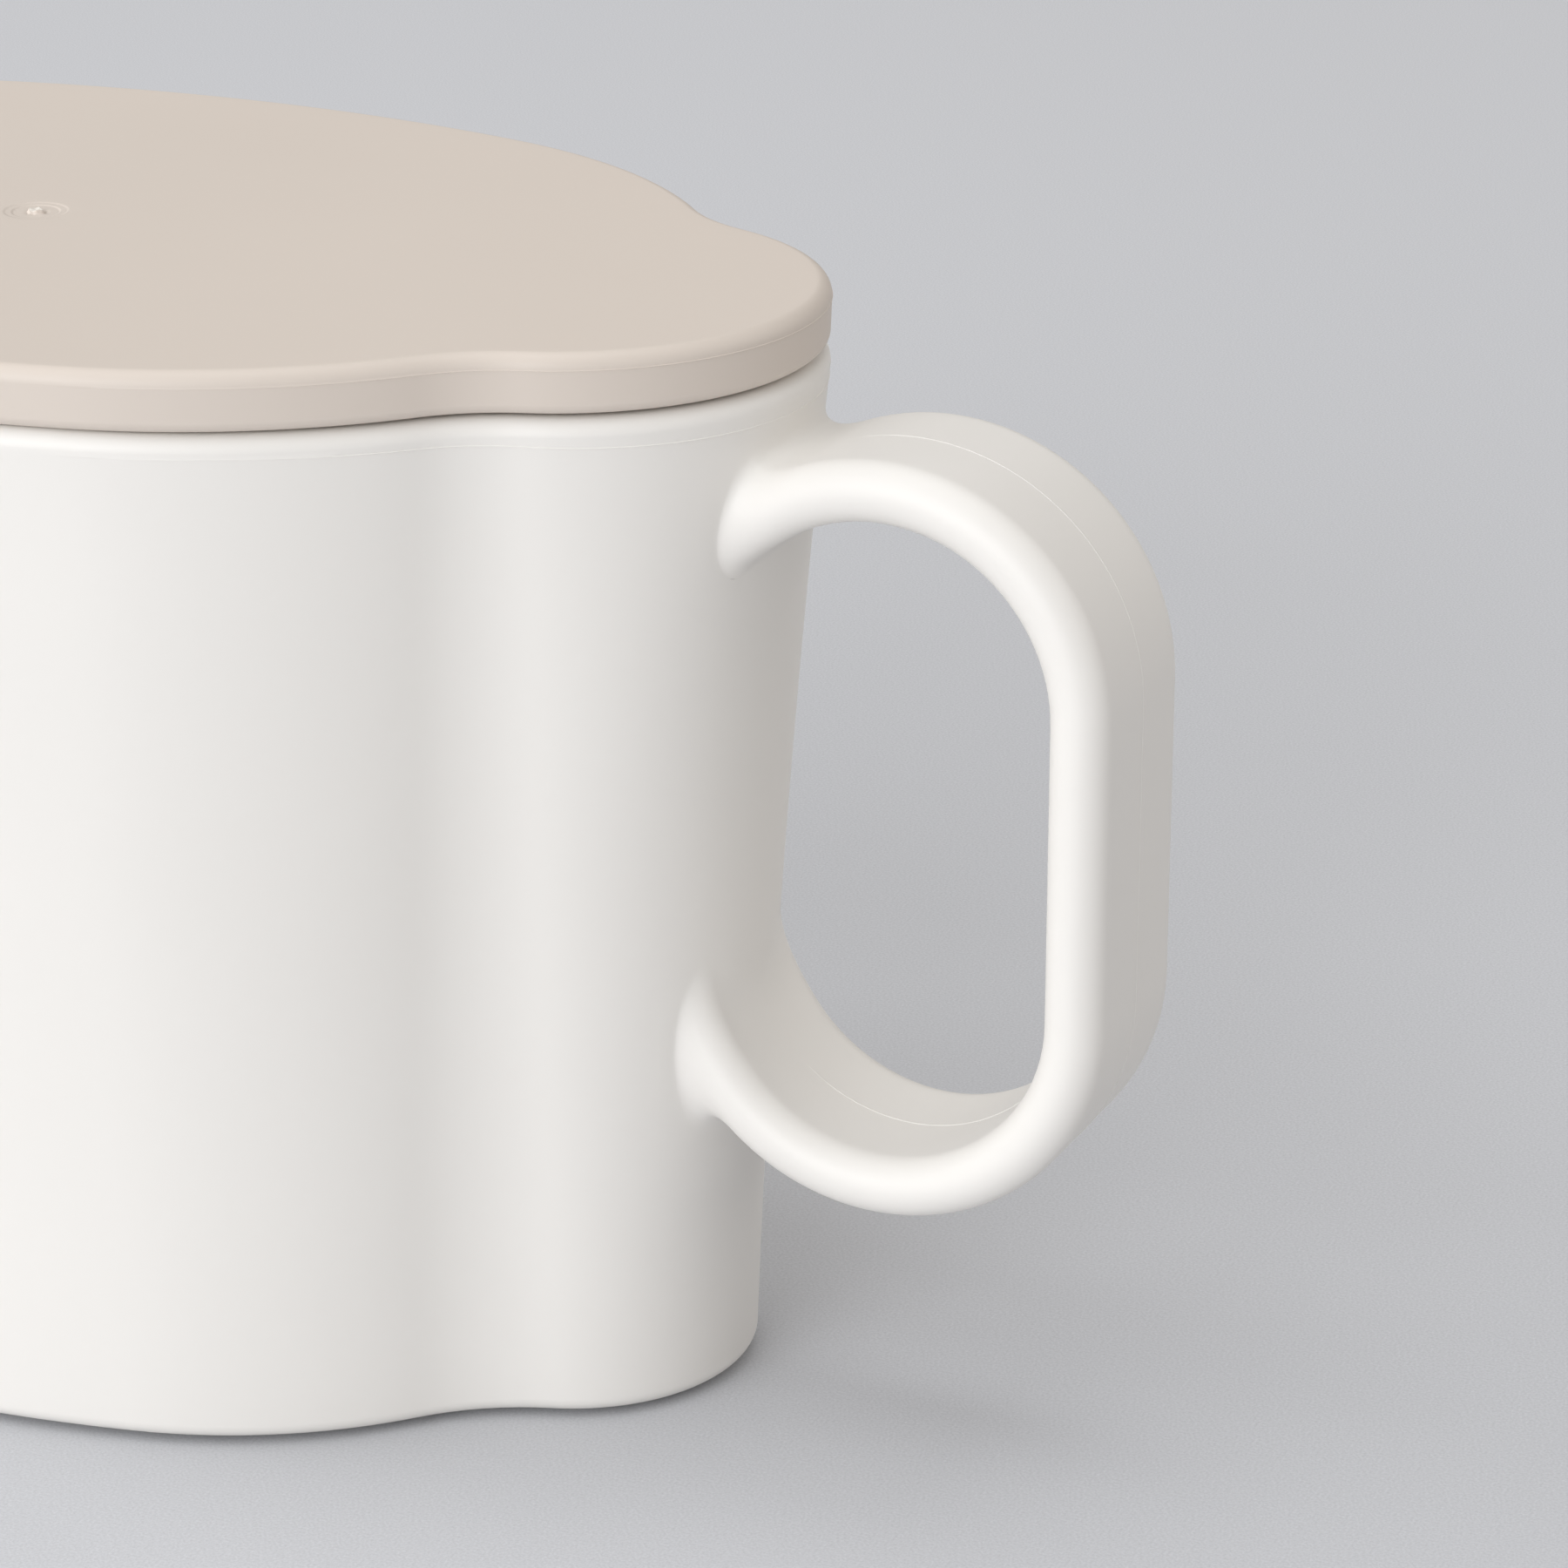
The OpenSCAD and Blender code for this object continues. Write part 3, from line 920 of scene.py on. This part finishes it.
def mug_plastic(finish):
    """Warm white plastic with a satin mould grain."""
    shader = Shader("mug_plastic")
    place = shader.coordinates()
    cloud = shader.noise(place, scale=30.0, detail=2.0)
    grain = shader.noise(place, scale=3200.0, detail=2.0, roughness=0.6)
    specks = shader.specks(place, spacing=0.016, radius=SPECK_RADIUS, kept=0.45)
    body = shader.mix(cloud, *tones(finish.mug_colour, 0.015))
    return shader.finish({
        "Base Color": shader.mix(specks * SPECK_STRENGTH, body, tint(finish.mug_colour, 0.35)),
        "Roughness": finish.mug_roughness + (cloud - 0.5) * 0.05 + (grain - 0.5) * 0.04,
        "IOR": 1.49,
        "Normal": shader.bump(grain, strength=0.12, distance=GRAIN_DEPTH),
    })


def lid_plastic(finish, lid):
    """Beige plastic with a matt mould grain, pale where the gate was cut off."""
    shader = Shader("lid_plastic")
    place = shader.coordinates()
    cloud = shader.noise(place, scale=24.0, detail=3.0)
    grain = shader.noise(place, scale=2800.0, detail=2.0, roughness=0.6)
    specks = shader.specks(place, spacing=0.011, radius=SPECK_RADIUS, kept=0.5)
    cut = shader.from_axis(place) < CUT_SHARE * lid.stub_radius
    body = shader.mix(cloud, *tones(finish.lid_colour, 0.02))
    speckled = shader.mix(specks * SPECK_STRENGTH, body, tint(finish.lid_colour, 0.3))
    return shader.finish({
        "Base Color": shader.mix(cut * CUT_STRENGTH, speckled, tint(finish.stub_colour, 1.0)),
        "Roughness": finish.lid_roughness + (cloud - 0.5) * 0.05 + (grain - 0.5) * 0.05,
        "IOR": 1.47,
        "Normal": shader.bump(grain, strength=0.15, distance=GRAIN_DEPTH),
    })


def paper(studio):
    """Plain matt paper for the floor."""
    shader = Shader("floor_paper")
    fibre = shader.noise(shader.coordinates(), scale=4600.0, detail=2.0)
    coloured = shader.mix(fibre, *tones(studio.floor_colour, 0.2))
    return shader.finish({"Base Color": coloured, "Roughness": 0.9, "Specular IOR Level": 0.2})


class SOUPMUG_OT_studio(bpy.types.Operator):
    """Lay the paper floor, hang the soft lights and set up the camera"""

    bl_idname = "soupmug.studio"
    bl_label = "Studio"
    bl_options = {"REGISTER", "UNDO"}

    FLOOR_SIDE = 4.0
    FLOOR_CELLS = 8
    IMAGE_SIDE = 1800
    FOCAL_PIXELS = 6193.0
    SENSOR = 36.0
    NEAREST = 0.01
    AZIMUTH = 24.871
    ELEVATION = 21.157
    DISTANCE = 0.4208
    ASIDE = 0.056048
    TARGET_HEIGHT = 0.038611
    AIM = Vector((0.02, 0.0, 0.04))
    LIGHT_DISTANCE = 2.2
    LIGHT_WIDTH = 1.6

    # Name, tone, height, azimuth and elevation of each soft box.
    SOFT_BOXES = (
        ("key", (0.950, 0.972, 1.0), 1.6, -20.0, 35.0),
        ("front", (0.967, 0.980, 1.0), 1.2, -5.0, 14.3),
        ("left", (0.976, 0.988, 1.0), 1.4, -80.0, 16.7),
        ("top", (0.960, 0.980, 1.0), 1.6, 0.0, 88.0),
        ("right", (1.0, 0.962, 0.919), 1.6, 120.0, 30.0),
        ("back", (0.990, 0.996, 1.0), 1.6, 180.0, 60.0),
    )

    def execute(self, context):
        studio = context.scene.soup_mug.studio
        bpy.ops.object.select_all(action="DESELECT")
        bpy.ops.mesh.primitive_grid_add(
            x_subdivisions=self.FLOOR_CELLS, y_subdivisions=self.FLOOR_CELLS, size=self.FLOOR_SIDE
        )
        floor = context.object
        floor.name = floor.data.name = "floor"
        floor.data.materials.append(paper(studio))
        for name, tone, height, azimuth, elevation in self.SOFT_BOXES:
            watts = getattr(studio, f"{name}_power")
            self.soft_box(name, watts, tone, height, self.toward(azimuth, elevation))
        world = bpy.data.worlds.new("studio_air")
        world.use_nodes = True
        background = world.node_tree.nodes["Background"]
        background.inputs["Color"].default_value = tint(studio.air_colour, 1.0)
        background.inputs["Strength"].default_value = studio.ambient
        context.scene.world = world
        context.scene.view_settings.view_transform = "Standard"
        self.camera(context)
        return {"FINISHED"}

    @staticmethod
    def toward(azimuth, elevation):
        """Direction from the mug to a place round it, as the views are named."""
        a, e = math.radians(azimuth), math.radians(elevation)
        return Vector((math.sin(a) * math.cos(e), -math.cos(a) * math.cos(e), math.sin(e)))

    @staticmethod
    def face(thing, direction):
        thing.rotation_mode = "QUATERNION"
        thing.rotation_quaternion = direction.to_track_quat("-Z", "Y")

    def soft_box(self, name, watts, tone, height, back):
        bpy.ops.object.light_add(type="AREA", location=self.AIM + self.LIGHT_DISTANCE * back)
        light = bpy.context.object
        light.name = light.data.name = name
        self.face(light, -back)
        light.visible_camera = False
        light.data.shape = "RECTANGLE"
        light.data.size = self.LIGHT_WIDTH
        light.data.size_y = height
        light.data.color = tone
        light.data.energy = watts

    def camera(self, context):
        back = self.toward(self.AZIMUTH, self.ELEVATION)
        right = unit(math.radians(self.AZIMUTH))
        target = at_height(self.ASIDE * right, self.TARGET_HEIGHT)
        bpy.ops.object.camera_add(location=target + self.DISTANCE * back)
        camera = context.object
        camera.name = camera.data.name = "camera"
        self.face(camera, -back)
        camera.data.sensor_width = self.SENSOR
        camera.data.lens = self.FOCAL_PIXELS / self.IMAGE_SIDE * self.SENSOR
        camera.data.clip_start = self.NEAREST
        context.scene.camera = camera


class SOUPMUG_PT_panel(bpy.types.Panel):
    """Settings and steps of the soup mug"""

    bl_idname = "SOUPMUG_PT_panel"
    bl_label = "Soup mug"
    bl_space_type = "VIEW_3D"
    bl_region_type = "UI"
    bl_category = "Soup mug"

    def draw(self, context):
        settings = context.scene.soup_mug
        for name in settings.__annotations__:
            group = getattr(settings, name)
            box = self.layout.box()
            box.label(text=name.capitalize())
            for setting in group.__annotations__:
                box.prop(group, setting)
        for operator in STEPS:
            self.layout.operator(operator.bl_idname)


STEPS = (SOUPMUG_OT_mug, SOUPMUG_OT_lid, SOUPMUG_OT_studio)
CLASSES = (
    OutlineSizes,
    MugSizes,
    LidSizes,
    HandleSizes,
    Finishes,
    Studio,
    SoupMug,
    *STEPS,
    SOUPMUG_PT_panel,
)


def register():
    for cls in CLASSES:
        bpy.utils.register_class(cls)
    bpy.types.Scene.soup_mug = PointerProperty(type=SoupMug)


def unregister():
    del bpy.types.Scene.soup_mug
    for cls in reversed(CLASSES):
        bpy.utils.unregister_class(cls)


def main():
    register()
    bpy.ops.soupmug.mug()
    bpy.ops.soupmug.lid()
    bpy.ops.soupmug.studio()


if __name__ == "__main__":
    main()
